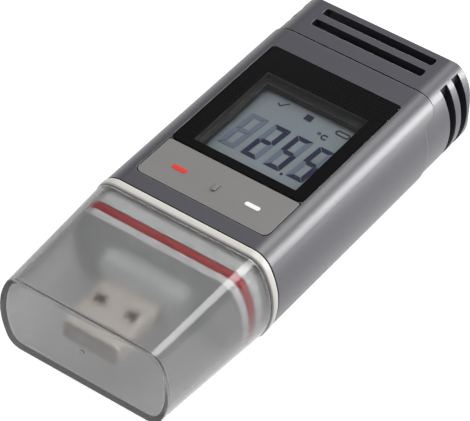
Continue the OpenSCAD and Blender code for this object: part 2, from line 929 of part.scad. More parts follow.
module usb_cap() {
    color("gray", 0.6)
        in_place()
            union() {
                difference() {
                    cap_form(0, cap_rim_y);
                    cap_form(cap_wall, cap_rim_y + over);
                }
                along_y(cap_end_y - cap_gate_h, cap_end_y + cap_wall)
                    translate([0, mid_z])
                        circle(cap_gate_r);
            }
}

module plug_shell() {
    latch_y = plug_tip_y + latch_front + latch_w / 2;
    color("silver")
        in_place()
            difference() {
                along_y(plug_tip_y, plug_back_y)
                    translate([0, plug_z])
                        round_rect(plug_w, plug_h, plug_corner_r);
                along_y(plug_tip_y - over, plug_back_y + over)
                    translate([0, plug_z])
                        round_rect(plug_w - 2 * plug_wall, plug_h - 2 * plug_wall,
                                   plug_corner_r - plug_wall);
                for (sx = [-1, 1])
                    translate([sx * latch_x, latch_y, plug_z])
                        cube([latch_w, latch_w, plug_h + 2 * over], center = true);
            }
}

module plug_tongue() {
    low_z = plug_z - plug_h / 2 + plug_wall + run_gap;
    color("white")
        in_place()
            block([-tongue_w / 2, plug_tip_y + tongue_short, low_z],
                  [tongue_w / 2, plug_back_y - contact_t, low_z + tongue_t]);
}

module plug_contacts() {
    low_z = plug_z - plug_h / 2 + plug_wall + run_gap + tongue_t;
    color("gold")
        in_place()
            for (x = contact_xs)
                translate([x, 0, 0])
                    union() {
                        block([-contact_w / 2, plug_tip_y + contact_short, low_z],
                              [contact_w / 2, plug_back_y, low_z + contact_t]);
                        block([-contact_w / 2, plug_back_y - contact_t, low_z],
                              [contact_w / 2, plug_back_y, board_top + contact_t]);
                        block([-contact_w / 2, plug_back_y - contact_t, board_top],
                              [contact_w / 2, contact_end_y, board_top + contact_t]);
                    }
}

// Rocker key

module key_pocket(x) {
    translate([x, mark_y, body_h - mark_t])
        linear_extrude(mark_t + over)
            round_rect(mark_w, mark_l, mark_r);
}

module key_plate() {
    under = body_h - key_t;
    color("darkgray")
        in_place()
            difference() {
                union() {
                    plate(key_w, key_y + key_gap, key_l - 2 * key_gap, under, body_h,
                          key_corner_r);
                    plate(key_w, key_y + key_l / 2, key_l / 2 - key_gap, under, body_h,
                          window_corner_r / 2);
                    translate([0, mark_y, under])
                        linear_extrude(key_t + nib_h)
                            round_rect(nib_w, nib_l, nib_w / 2 - slice);
                    block([-rib_w / 2, key_y + rib_gap, pin_z - pin_r],
                          [rib_w / 2, key_end_y - ear_t / 2 - rib_gap, under + slice]);
                    along_y(key_y - pin_l, key_end_y - ear_t / 2 + pin_l)
                        translate([0, pin_z])
                            circle(pin_r);
                    for (sx = [-1, 1])
                        rod(sx * foot_x, switch_y, under - foot_l, under + slice, foot_r);
                }
                for (sx = [-1, 1])
                    key_pocket(sx * mark_x);
            }
}

// A bar set in the key's top
module key_mark(x) {
    in_place()
        translate([x, mark_y, body_h - mark_t])
            linear_extrude(mark_t + mark_proud)
                round_rect(mark_w, mark_l, mark_r);
}

module stop_mark() {
    color("red")
        key_mark(-mark_x);
}

module start_mark() {
    color("white")
        key_mark(mark_x);
}

// Switches under the key

module switch_base(x) {
    lid_z = board_top + switch_h;
    chamber_top = lid_z - switch_lid_t;
    color("darkslategray")
        in_place()
            difference() {
                translate([x, switch_y, board_top + switch_h / 2])
                    cube([switch_w, switch_w, switch_h], center = true);
                rod(x, switch_y, board_top + switch_lid_t, chamber_top,
                    plunger_flange_r + fit_gap);
                rod(x, switch_y, board_top + switch_lid_t, lid_z + over, plunger_r + run_gap);
            }
}

module switch_plunger(x) {
    flange_top = board_top + switch_h - switch_lid_t - plunger_room;
    color("black")
        in_place()
            union() {
                rod(x, switch_y, flange_top - plunger_flange_t, flange_top, plunger_flange_r);
                rod(x, switch_y, flange_top - plunger_flange_t, plunger_top, plunger_r);
            }
}

module stop_switch() {
    switch_base(-foot_x);
}

module stop_plunger() {
    switch_plunger(-foot_x);
}

module start_switch() {
    switch_base(foot_x);
}

module start_plunger() {
    switch_plunger(foot_x);
}

// Display

module display_window() {
    color("black")
        in_place()
            plate(window_w, window_y, window_l, recess_floor_z + mask_t, body_h,
                  window_corner_r);
}

module window_mask() {
    color("black")
        in_place()
            difference() {
                plate(window_w, window_y, window_l, recess_floor_z, recess_floor_z + mask_t,
                      window_corner_r);
                plate(clear_w, clear_y, clear_l, recess_floor_z - over,
                      recess_floor_z + mask_t + over, clear_corner_r);
            }
}

module lcd_frame() {
    step_y = clear_y + frame_step_inset;
    step_l = clear_l - 2 * frame_step_inset;
    color("darkslategray")
        in_place()
            difference() {
                plate(frame_w, frame_y, frame_l, board_top, frame_top, window_corner_r);
                plate(frame_w - 2 * frame_wall, frame_y + frame_wall, frame_l - 2 * frame_wall,
                      board_top - over, lcd_top + fit_gap, window_corner_r / 2);
                plate(clear_w, clear_y, clear_l, frame_step_z, frame_top + over,
                      clear_corner_r);
                plate(frame_step_w, step_y, step_l, lcd_top, frame_top + over,
                      clear_corner_r);
            }
}

module lcd_front_glass() {
    color("lightsteelblue")
        in_place()
            plate(glass_w, glass_y, glass_l, lcd_top - glass_t, lcd_top, window_corner_r / 3);
}

module lcd_rear_glass() {
    color("lightgray")
        in_place()
            plate(glass_w, glass_y + rear_glass_inset, glass_l - 2 * rear_glass_inset,
                  lcd_top - 2 * glass_t, lcd_top - glass_t, window_corner_r / 3);
}

module lcd_reflector() {
    color("silver")
        in_place()
            plate(glass_w, glass_y + rear_glass_inset, glass_l - 2 * rear_glass_inset,
                  lcd_top - 2 * glass_t - reflector_t, lcd_top - 2 * glass_t,
                  window_corner_r / 3);
}

module zebra_strips() {
    color("hotpink")
        in_place()
            for (y = [glass_y + zebra_inset, glass_y + glass_l - zebra_inset - zebra_w])
                block([-glass_w / 2 + zebra_inset, y, board_top],
                      [glass_w / 2 - zebra_inset, y + zebra_w, lcd_top - glass_t]);
}

// Outline of one segment of a digit whose lower left corner is zero. Segments 0 to 6
// run clockwise from the top bar, and 6 is the middle bar
function bar_points(flip) =
    let (t = segment_w, g = segment_gap, w = digit_w, h = digit_h)
    [for (p = [[g, h], [w - g, h], [w - t - g, h - t], [t + g, h - t]])
        flip ? [p.x, h - p.y] : p];

function upright_points(flip_x, flip_y) =
    let (t = segment_w, g = segment_gap, w = digit_w, h = digit_h)
    [for (p = [[0, h - g], [t, h - t - g], [t, (h + t) / 2 + g], [t / 2, h / 2 + g], [0, h / 2 + g]])
        [flip_x ? w - p.x : p.x, flip_y ? h - p.y : p.y]];

function middle_points() =
    let (t = segment_w, g = segment_gap, w = digit_w, h = digit_h)
    [
        [t / 2 + g, h / 2], [t + g, (h + t) / 2], [w - t - g, (h + t) / 2],
        [w - t / 2 - g, h / 2], [w - t - g, (h - t) / 2], [t + g, (h - t) / 2]
    ];

function segment_points(k) =
    k == 0 ? bar_points(false)
    : k == 1 ? upright_points(true, false)
    : k == 2 ? upright_points(true, true)
    : k == 3 ? bar_points(true)
    : k == 4 ? upright_points(false, true)
    : k == 5 ? upright_points(false, false)
    : middle_points();

// The digits lean to the right as they rise
function lean(points) = [for (p = points) [p.x + digit_slant * p.y / digit_h, p.y]];

module digit_segments(lit) {
    for (place = [0 : digit_count - 1], k = [0 : 6])
        if ((len(search(k, lit_segments[place])) > 0) == lit)
            translate([digit_x + place * digit_pitch, digit_y])
                polygon(lean(segment_points(k)));
}

module unit_sign() {
    translate([unit_x - unit_r - 2 * degree_r, unit_y + unit_r - degree_r])
        difference() {
            circle(degree_r);
            circle(degree_r - unit_line / 2);
        }
    translate([unit_x, unit_y])
        difference() {
            circle(unit_r);
            circle(unit_r - unit_line);
            translate([unit_r, 0])
                square([unit_r, unit_r], center = true);
        }
}

module tick_sign() {
    translate([tick_x, sign_y - sign_w / 2])
        polygon(tick_shares * sign_w);
}

module lcd_segments_on() {
    color("midnightblue")
        in_place()
            translate([0, 0, lcd_top])
                linear_extrude(segment_t) {
                    digit_segments(true);
                    translate([point_x, digit_y - point_w / 2])
                        square(point_w, center = true);
                    translate([square_x, sign_y])
                        square(sign_w, center = true);
                    unit_sign();
                    tick_sign();
                    translate([pill_x, sign_y])
                        difference() {
                            round_rect(pill_w, pill_l, pill_l / 2 - slice);
                            round_rect(pill_w - 2 * unit_line, pill_l - 2 * unit_line,
                                       pill_l / 2 - unit_line - slice);
                        }
                }
}

module lcd_segments_off() {
    color("slategray")
        in_place()
            translate([0, 0, lcd_top])
                linear_extrude(segment_t)
                    digit_segments(false);
}

// Circuit board and what is soldered to it

module circuit_board() {
    color("darkgreen")
        in_place()
            difference() {
                plate(board_w, board_y, board_end_y - board_y, board_z, board_top,
                      board_corner_r);
                for (sx = [-1, 1], y = post_ys)
                    rod(sx * post_x, y, board_z - over, board_top + over, screw_r + fit_gap);
            }
}

module controller_chip() {
    color("black")
        in_place()
            translate([0, controller_y, board_top + controller_h / 2])
                cube([controller_w, controller_w, controller_h], center = true);
}

module memory_chip() {
    color("black")
        in_place()
            translate([memory_x, memory_y, board_top + memory_h / 2])
                cube([memory_w, memory_l, memory_h], center = true);
}

module clock_crystal() {
    color("silver")
        in_place()
            translate([crystal_x, crystal_y, board_top + crystal_h / 2])
                cube([crystal_w, crystal_l, crystal_h], center = true);
}

// A row of small parts along X on top of the board
module chip_row(count, y) {
    for (k = [0 : count - 1])
        translate([(k - (count - 1) / 2) * chip_part_pitch, y, board_top + chip_part_h / 2])
            cube([chip_part_w, chip_part_l, chip_part_h], center = true);
}

module chip_capacitors() {
    color("tan")
        in_place()
            translate([-memory_x / 2, 0, 0])
                chip_row(capacitor_count, capacitor_y);
}

module chip_resistors() {
    color("black")
        in_place()
            chip_row(resistor_count, resistor_y);
}

module board_screws() {
    color("silver")
        in_place()
            for (sx = [-1, 1], y = post_ys)
                screw(sx * post_x, y, board_z - screw_head_h,
                      screw_head_h + board_t + screw_grip - fit_gap);
}

// Battery

module battery_holder() {
    color("black")
        in_place()
            difference() {
                rod(0, door_y, holder_z, board_z, holder_r);
                rod(0, door_y, holder_z - over, holder_roof_z, cell_rim_r + fit_gap);
                translate([0, door_y, holder_roof_z])
                    cube([spring_l + 2 * fit_gap, spring_w + 2 * fit_gap, body_h], center = true);
                block([-holder_r - over, door_y - clip_w / 2 - fit_gap, holder_z - over],
                      [-cell_rim_r + over, door_y + clip_w / 2 + fit_gap, board_z + over]);
            }
}

module battery_clip() {
    color("silver")
        in_place()
            block([-cell_rim_r - fit_gap - clip_t, door_y - clip_w / 2, clip_z],
                  [-cell_rim_r - fit_gap, door_y + clip_w / 2, board_z]);
}

module battery_spring() {
    color("silver")
        in_place()
            union() {
                block([-spring_l / 2, door_y - spring_w / 2, board_z - spring_t],
                      [spring_l / 2, door_y + spring_w / 2, board_z]);
                rod(0, door_y, cell_top, board_z, spring_w / 2);
            }
}

module coin_cell() {
    color("silver")
        in_place()
            union() {
                rod(0, door_y, cell_z, cell_top - cell_step_h, cell_rim_r);
                rod(0, door_y, cell_z, cell_top, cell_step_r);
            }
}

// Sensor end

module sensor_bulkhead() {
    color("black")
        in_place()
            difference() {
                body_stretch(bulkhead_y, bulkhead_y + bulkhead_t, shell_wall + run_gap);
                for (sx = [-1, 1])
                    along_y(bulkhead_y - over, bulkhead_y + bulkhead_t + over)
                        translate([sx * lead_x, lead_z])
                            circle(lead_r + run_gap);
            }
}

module temperature_sensor() {
    color("saddlebrown")
        in_place()
            translate([0, 0, lead_z])
                union() {
                    along_y(sensor_y, sensor_y + sensor_l)
                        circle(sensor_r);
                    translate([0, sensor_y + sensor_l, 0])
                        sphere(sensor_r);
                }
}

module sensor_leads() {
    color("silver")
        in_place()
            for (sx = [-1, 1])
                along_y(lead_start_y, sensor_y)
                    translate([sx * lead_x, lead_z])
                        circle(lead_r);
}

front_shell();
vent_cover();
rear_cover();
battery_door();
door_seal();
case_screws();
trim_ring();
plug_collar();
seal_ring();
usb_cap();
plug_shell();
plug_tongue();
plug_contacts();
key_plate();
stop_mark();
start_mark();
stop_switch();
stop_plunger();
start_switch();
start_plunger();
display_window();
window_mask();
lcd_frame();
lcd_front_glass();
lcd_rear_glass();
lcd_reflector();
lcd_segments_on();
lcd_segments_off();
zebra_strips();
circuit_board();
controller_chip();
memory_chip();
clock_crystal();
chip_capacitors();
chip_resistors();
board_screws();
battery_holder();
battery_clip();
battery_spring();
coin_cell();
sensor_bulkhead();
temperature_sensor();
sensor_leads();
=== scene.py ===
"""Looks of the temperature data logger: its solids come from the frame, in metres, +Z up,
with the plug end towards -Y. The script adds materials, the finer meshes, lamps and camera."""

import json
import math

import bmesh
import bpy
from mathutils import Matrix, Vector


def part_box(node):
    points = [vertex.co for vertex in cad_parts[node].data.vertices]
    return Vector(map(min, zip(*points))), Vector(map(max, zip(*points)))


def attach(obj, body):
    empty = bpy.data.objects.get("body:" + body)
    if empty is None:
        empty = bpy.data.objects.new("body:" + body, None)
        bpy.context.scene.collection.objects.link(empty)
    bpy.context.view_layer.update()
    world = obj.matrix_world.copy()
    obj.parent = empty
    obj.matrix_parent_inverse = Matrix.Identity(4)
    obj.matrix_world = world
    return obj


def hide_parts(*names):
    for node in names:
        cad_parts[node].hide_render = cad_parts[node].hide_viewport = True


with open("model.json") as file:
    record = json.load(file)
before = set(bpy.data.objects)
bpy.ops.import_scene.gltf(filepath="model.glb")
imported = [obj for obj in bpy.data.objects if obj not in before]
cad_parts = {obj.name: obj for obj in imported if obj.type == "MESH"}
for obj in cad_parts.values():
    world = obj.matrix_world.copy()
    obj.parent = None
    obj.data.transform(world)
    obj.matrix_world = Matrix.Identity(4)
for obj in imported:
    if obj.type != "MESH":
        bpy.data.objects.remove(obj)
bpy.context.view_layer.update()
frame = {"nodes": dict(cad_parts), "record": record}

MM = 0.001
UM = 0.000001

# Sizes that the finer meshes share with the solids
SIDE_R = 16 * MM
CORNER_R = 4.4 * MM
CAP_DRAW_W = 1.7 * MM
CAP_DRAW_H = 1.4 * MM
CAP_WALL = 1.2 * MM
CAP_EDGE = 0.45 * MM
END_SIDE_R = 15 * MM
END_CORNER_R = 3.5 * MM
GATE_H = 0.15 * MM
GATE_SHOWN = 0.45 * MM
RIM_EDGE = 0.15 * MM
RING_WALL = 2 * MM
TRIM_EDGE = 0.45 * MM
SEAL_SIDE_R = 13.4 * MM
SEAL_CORNER_R = 2.25 * MM
PANE_CORNER_R = 0.9 * MM
PANE_EDGE = 0.02 * MM
PANE_SINK = 0.01 * MM

# Fineness of the meshes
SIDE_STEPS = 24
CORNER_STEPS = 12
FLAT_STEPS = 12
EDGE_STEPS = 6
CAP_STEPS = 10
CORD_STEPS = 24
SHARP_ANGLE = math.radians(35)

# Camera, at the photograph's place: metres, degrees and millimetres
CAMERA_PLACE = (0.209905, -0.313891, 0.366418)
CAMERA_TURN = (46.4965, -1.7921, 35.6367)
CAMERA_LENS = 215.21
CAMERA_SENSOR = 36
CAMERA_NEAR = 0.01
CAMERA_FAR = 20

# Floor and backdrop, in metres
FLOOR_RADIUS = 3
FLOOR_TURN_R = 0.4
FLOOR_TURN_STEPS = 8
FLOOR_SIDES = 96
WALL_HEIGHT = 1.1
FLOOR_GREY = 0.3
# Glow of the floor and backdrop for each kind of ray that sees them. A ray through the
# frosted cap counts as glossy too, so the last share takes most of its glow away
FLOOR_GLOWS = {"Is Camera Ray": 0.95, "Is Glossy Ray": 1, "Is Transmission Ray": -0.7}

# Light: the world's level, and each lamp's place, width and height in metres and its watts
WORLD_LEVEL = 0.28
LAMPS = {
    "softbox_right": ((0.72, 0.78, 0.25), 0.4, 0.7, 13),
    "softbox_left": ((-0.75, -0.6, 0.5), 0.7, 0.6, 1),
    "softbox_top": ((0.12, 0.4, 1), 0.6, 0.6, 8),
}
LAMP_TARGET = (0, 0, 0.01)

# The cap's plastic: colour and strength of its smoke, and the gloss of its two sides
SMOKE_COLOUR = (0.15, 0.14, 0.165, 1)
SMOKE_DENSITY = 140
SMOKE_GRAIN = 0.35 * MM
SMOKE_IOR = 1.5
GLOSS_ROUGH = 0.06
FROST_ROUGH = 0.34

# The window's pane
PANE_DRIFT = 8 * MM
PANE_IOR = 1.36
PANE_ROUGH = 0.015

# The other finishes: the slow drift of a colour, the usual range of noise, how far the
# surface turns at an edge, how open a face is, and what painted shade leaves of its colour
DRIFT = 6 * MM
NOISE_RANGE = (0.3, 0.7)
EDGE_RANGE = (0.75, 0.98)
OPEN_RANGE = (0.3, 0.9)
PAINTED_SHADE_SHARE = 0.08
BEVEL_SAMPLES = 4
OPEN_SAMPLES = 6


def srgb(red, green, blue):
    """A colour as its 8-bit screen values, turned into Blender's linear ones."""
    def linear(value):
        share = value / 255
        if share <= 0.04045:
            return share / 12.92
        return ((share + 0.055) / 1.055) ** 2.4
    return linear(red), linear(green), linear(blue), 1


# Material building

class Paint:
    """One Principled material with its nodes, built up by short calls."""

    def __init__(self, name):
        self.material = bpy.data.materials.new(name)
        self.material.use_nodes = True
        self.tree = self.material.node_tree
        self.shader = self.tree.nodes["Principled BSDF"]
        self.where = self.add("ShaderNodeTexCoord").outputs["Object"]

    def add(self, kind, **settings):
        node = self.tree.nodes.new(kind)
        for key, value in settings.items():
            setattr(node, key, value)
        return node

    def join(self, source, target):
        self.tree.links.new(source, target)

    def set(self, **values):
        for key, value in values.items():
            self.shader.inputs[key.replace("_", " ")].default_value = value

    def noise(self, size, detail=3):
        """Noise whose blotches are about the given size in metres."""
        node = self.add("ShaderNodeTexNoise")
        node.inputs["Scale"].default_value = 1 / size
        node.inputs["Detail"].default_value = detail
        self.join(self.where, node.inputs["Vector"])
        return node.outputs["Fac"]

    def spread(self, source, low, high, within=NOISE_RANGE):
        """A value brought from its own range to low and high."""
        node = self.add("ShaderNodeMapRange")
        node.inputs["From Min"].default_value = within[0]
        node.inputs["From Max"].default_value = within[1]
        node.inputs["To Min"].default_value = low
        node.inputs["To Max"].default_value = high
        self.join(source, node.inputs["Value"])
        return node.outputs["Result"]

    def mix(self, share, first, second):
        """Two colours mixed; each is a colour or a socket, and so is the share."""
        node = self.add("ShaderNodeMix", data_type="RGBA")
        sockets = (node.inputs[0], node.inputs[6], node.inputs[7])
        for socket, value in zip(sockets, (share, first, second)):
            if isinstance(value, bpy.types.NodeSocket):
                self.join(value, socket)
            else:
                socket.default_value = value
        return node.outputs[2]

    def edges(self, width):
        """One where the surface turns within that width of a point, and zero on flats."""
        plain = self.add("ShaderNodeNewGeometry")
        dot = self.add("ShaderNodeVectorMath", operation="DOT_PRODUCT")
        self.join(self.rounded(width), dot.inputs[0])
        self.join(plain.outputs["Normal"], dot.inputs[1])
        return self.spread(dot.outputs["Value"], 1, 0, EDGE_RANGE)

    def rounded(self, width):
        """The normal, as if each edge were rounded off over width."""
        node = self.add("ShaderNodeBevel", samples=BEVEL_SAMPLES)
        node.inputs["Radius"].default_value = width
        return node.outputs["Normal"]

    def openness(self, reach):
        """One on open faces, down to zero where walls within reach close a face in."""
        node = self.add("ShaderNodeAmbientOcclusion", samples=OPEN_SAMPLES)
        node.inputs["Distance"].default_value = reach
        return self.spread(node.outputs["AO"], 0, 1, OPEN_RANGE)

    def bump(self, source, depth, width=0):
        """Relief of that depth in metres, on edges rounded off over width."""
        node = self.add("ShaderNodeBump")
        node.inputs["Distance"].default_value = depth
        node.inputs["Strength"].default_value = 1
        self.join(source, node.inputs["Height"])
        if width:
            self.join(self.rounded(width), node.inputs["Normal"])
        self.join(node.outputs["Normal"], self.shader.inputs["Normal"])


def scaled(colour, factor):
    """A colour made that much stronger or weaker, no part of it above one."""
    return tuple(min(1, part * factor) for part in colour[:3]) + (1,)


def finish(name, colour, rough, grain, depth, mottle=0.05, wear_and_highlight=0.0, edge=0.12 * MM,
           rough_spread=0.05, painted_shade_reach=0.0, **values):
    """A surface with a grain in its colour, gloss and relief, and a slow drift of colour.
    Wear with a painted highlight pales its edges; painted shade darkens and dulls hollows
    within its reach."""
    paint = Paint(name)
    fine = paint.noise(grain)
    slow = paint.noise(DRIFT, 2)
    body = paint.mix(paint.spread(slow, 0, 1), scaled(colour, 1 - mottle),
                     scaled(colour, 1 + mottle))
    speck = paint.mix(paint.spread(fine, 0, 0.5), body, scaled(colour, 1 + 2 * mottle))
    # Painted highlight: edges are mixed towards white, partly as wear and partly as light
    # caught on their rounding
    if wear_and_highlight:
        rubbed_and_lit = paint.mix(wear_and_highlight, speck, (1, 1, 1, 1))
        speck = paint.mix(paint.edges(edge), speck, rubbed_and_lit)
    # Painted shade: faces closed in by nearby walls, such as seams, slots and recesses, are
    # darkened and lose their reflection
    if painted_shade_reach:
        unshaded_share = paint.openness(painted_shade_reach)
        speck = paint.mix(unshaded_share, scaled(colour, PAINTED_SHADE_SHARE), speck)
        paint.join(unshaded_share, paint.shader.inputs["Specular Tint"])
    paint.join(speck, paint.shader.inputs["Base Color"])
    paint.join(paint.spread(fine, rough - rough_spread, rough + rough_spread),
               paint.shader.inputs["Roughness"])
    paint.bump(fine, depth, edge)
    paint.set(**values)
    return paint.material


def clear_plastic():
    """Smoke-grey clear plastic, frosted on the inside of its wall."""
    paint = Paint("smoke_plastic")
    fine = paint.noise(SMOKE_GRAIN)
    frost = paint.add("ShaderNodeAttribute", attribute_name="frost")
    paint.set(Base_Color=(1, 1, 1, 1), IOR=SMOKE_IOR, Transmission_Weight=1)
    paint.join(paint.spread(frost.outputs["Fac"], GLOSS_ROUGH, FROST_ROUGH, (0, 1)),
               paint.shader.inputs["Roughness"])
    paint.bump(fine, 1 * UM)
    volume = paint.add("ShaderNodeVolumeAbsorption")
    volume.inputs["Color"].default_value = SMOKE_COLOUR
    volume.inputs["Density"].default_value = SMOKE_DENSITY
    out = paint.tree.nodes["Material Output"]
    paint.join(volume.outputs["Volume"], out.inputs["Volume"])
    return paint.material


def window_pane():
    """The glossy pane over the display: clear, with a faint slow change of gloss."""
    paint = Paint("window_pane")
    drift = paint.noise(PANE_DRIFT, 2)
    paint.set(Base_Color=(1, 1, 1, 1), IOR=PANE_IOR, Transmission_Weight=1)
    paint.join(paint.spread(drift, 0, PANE_ROUGH), paint.shader.inputs["Roughness"])
    return paint.material


# Each material: name, colour, roughness, size of the grain and depth of its relief
MATERIALS = {
    # Painted shade in its seams, slots and recesses; its paler edges are wear and painted
    # highlight
    "shell_plastic": finish("shell_plastic", srgb(56, 54, 63), 0.38, 0.14 * MM, 9 * UM,
                            mottle=0.04, wear_and_highlight=0.45, edge=0.14 * MM, painted_shade_reach=1.4 * MM,
                            Specular_IOR_Level=1),
    "ring_plastic": finish("ring_plastic", srgb(204, 202, 196), 0.38, 0.3 * MM, 3 * UM,
                           mottle=0.015),
    "collar_plastic": finish("collar_plastic", srgb(239, 241, 240), 0.45, 0.3 * MM, 4 * UM,
                             mottle=0.02),
    "seal_rubber": finish("seal_rubber", srgb(212, 4, 20), 0.45, 0.2 * MM, 3 * UM,
                          mottle=0.05),
    "door_rubber": finish("door_rubber", srgb(60, 58, 58), 0.6, 0.2 * MM, 6 * UM),
    "clear_plastic": clear_plastic(),
    "plug_steel": finish("plug_steel", srgb(240, 232, 223), 0.4, 0.2 * MM, 1 * UM,
                         mottle=0.02, Metallic=0.3),
    "plug_plastic": finish("plug_plastic", srgb(239, 239, 236), 0.4, 0.2 * MM, 4 * UM,
                           mottle=0.02),
    "gilt": finish("gilt", srgb(226, 178, 88), 0.25, 0.2 * MM, 1 * UM, Metallic=1),
    # Painted shade in the gap round the key; its paler edges are wear and painted highlight
    "key_plastic": finish("key_plastic", srgb(121, 120, 118), 0.5, 0.16 * MM, 6 * UM,
                          mottle=0.02, wear_and_highlight=0.2, edge=0.18 * MM, painted_shade_reach=0.8 * MM),
    "red_mark": finish("red_mark", srgb(226, 44, 30), 0.4, 0.15 * MM, 3 * UM, mottle=0.03),
    "white_mark": finish("white_mark", srgb(240, 240, 238), 0.4, 0.15 * MM, 3 * UM,
                         mottle=0.01),
    # Its paler edges are wear and painted highlight
    "black_plastic": finish("black_plastic", srgb(22, 21, 20), 0.45, 0.2 * MM, 3 * UM,
                            mottle=0.04, wear_and_highlight=0.2, edge=0.1 * MM),
    "window_pane": window_pane(),
    "mask_ink": finish("mask_ink", srgb(2, 2, 2), 0.6, 0.2 * MM, 0.1 * UM,
                       Specular_IOR_Level=0),
    # Painted shade: the display darkens next to the walls of its well
    "display_glass": finish("display_glass", srgb(131, 142, 148), 0.4, 0.25 * MM, 2 * UM,
                            mottle=0.02, painted_shade_reach=3 * MM),
    "reflector_film": finish("reflector_film", srgb(170, 178, 176), 0.4, 0.2 * MM, 3 * UM),
    "segment_dark": finish("segment_dark", srgb(38, 43, 72), 0.6, 0.3 * MM, 0.05 * UM,
                           mottle=0.01, edge=0.01 * MM, Specular_IOR_Level=0.1),
    "segment_faint": finish("segment_faint", srgb(108, 119, 138), 0.5, 0.3 * MM, 0.05 * UM,
                            mottle=0.01, edge=0.01 * MM, Specular_IOR_Level=0.2),
    "zebra_rubber": finish("zebra_rubber", srgb(150, 120, 132), 0.6, 0.2 * MM, 4 * UM),
    "board": finish("board", srgb(22, 92, 56), 0.4, 0.3 * MM, 4 * UM, mottle=0.08),
    "chip_black": finish("chip_black", srgb(34, 34, 36), 0.5, 0.12 * MM, 5 * UM),
    "capacitor_ceramic": finish("capacitor_ceramic", srgb(150, 112, 78), 0.45, 0.1 * MM,
                                4 * UM),
    "bright_steel": finish("bright_steel", srgb(200, 200, 200), 0.28, 0.15 * MM, 1 * UM,
                           mottle=0.02, Metallic=1),
    "sensor_resin": finish("sensor_resin", srgb(30, 26, 24), 0.3, 0.3 * MM, 3 * UM),
}

for row in frame["record"]["subparts"]:
    node = frame["nodes"][row["node"]]
    for slot in node.material_slots:
        slot.material = MATERIALS[row["material_slot"]]


# Mesh building

def flat_half(half_w, half_h, side_r, corner_r):
    """Half the flat of a section whose bulged sides touch its round corners."""
    rise = half_h - corner_r
    reach = side_r - corner_r
    return half_w - side_r + math.sqrt(reach * reach - rise * rise)


def arc(centre_x, centre_z, radius, first, last, steps):
    """Points of an arc, its last one left to the next stretch."""
    points = []
    for step in range(steps):
        angle = first + (last - first) * step / steps
        points.append((centre_x + radius * math.cos(angle),
                       centre_z + radius * math.sin(angle)))
    return points


def section_line(half_w, half_h, side_r, corner_r):
    """Outline of the housing's kind of section, with the same count for every size."""
    flat_x = flat_half(half_w, half_h, side_r, corner_r)
    rise = half_h - corner_r
    side_x = half_w - side_r
    lean = math.asin(rise / (side_r - corner_r))
    right = math.pi / 2
    line = arc(side_x, 0, side_r, -lean, lean, SIDE_STEPS)
    line += arc(flat_x, rise, corner_r, lean, right, CORNER_STEPS)
    for step in range(FLAT_STEPS):
        line.append((flat_x * (1 - 2 * step / FLAT_STEPS), half_h))
    line += arc(-flat_x, rise, corner_r, right, 2 * right - lean, CORNER_STEPS)
    line += arc(-side_x, 0, side_r, 2 * right - lean, 2 * right + lean, SIDE_STEPS)
    line += arc(-flat_x, -rise, corner_r, 2 * right + lean, 3 * right, CORNER_STEPS)
    for step in range(FLAT_STEPS):
        line.append((flat_x * (2 * step / FLAT_STEPS - 1), -half_h))
    line += arc(flat_x, -rise, corner_r, 3 * right, 4 * right - lean, CORNER_STEPS)
    return line


def ring_at(line, y, middle_z):
    return [Vector((x, y, middle_z + z)) for x, z in line]


def loft(name, rings, material, closed=False, frosted=()):
    """A surface through rings of equal count, capped at both ends or closed on itself.
    Rings whose numbers are in frosted carry one in the attribute of that name."""
    mesh = bpy.data.meshes.new(name)
    count = len(rings[0])
    points = [point for ring in rings for point in ring]
    faces = []
    spans = len(rings) if closed else len(rings) - 1
    for k in range(spans):
        low = k * count
        high = (k + 1) % len(rings) * count
        for i in range(count):
            n = (i + 1) % count
            faces.append((low + i, low + n, high + n, high + i))
    if not closed:
        faces.append(tuple(reversed(range(count))))
        faces.append(tuple(range(len(points) - count, len(points))))
    mesh.from_pydata(points, [], faces)
    mesh.update()
    work = bmesh.new()
    work.from_mesh(mesh)
    bmesh.ops.recalc_face_normals(work, faces=work.faces)
    work.to_mesh(mesh)
    work.free()
    for face in mesh.polygons:
        face.use_smooth = True
    mesh.set_sharp_from_angle(angle=SHARP_ANGLE)
    frost = mesh.attributes.new("frost", "FLOAT", "POINT")
    for k in range(len(rings)):
        for i in range(count):
            frost.data[k * count + i].value = 1 if k in frosted else 0
    mesh.materials.append(material)
    piece = bpy.data.objects.new(name, mesh)
    bpy.context.scene.collection.objects.link(piece)
    return piece


def stand_in(piece, node, body):
    """This piece is shown instead of that node."""
    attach(piece, body)
    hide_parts(node)


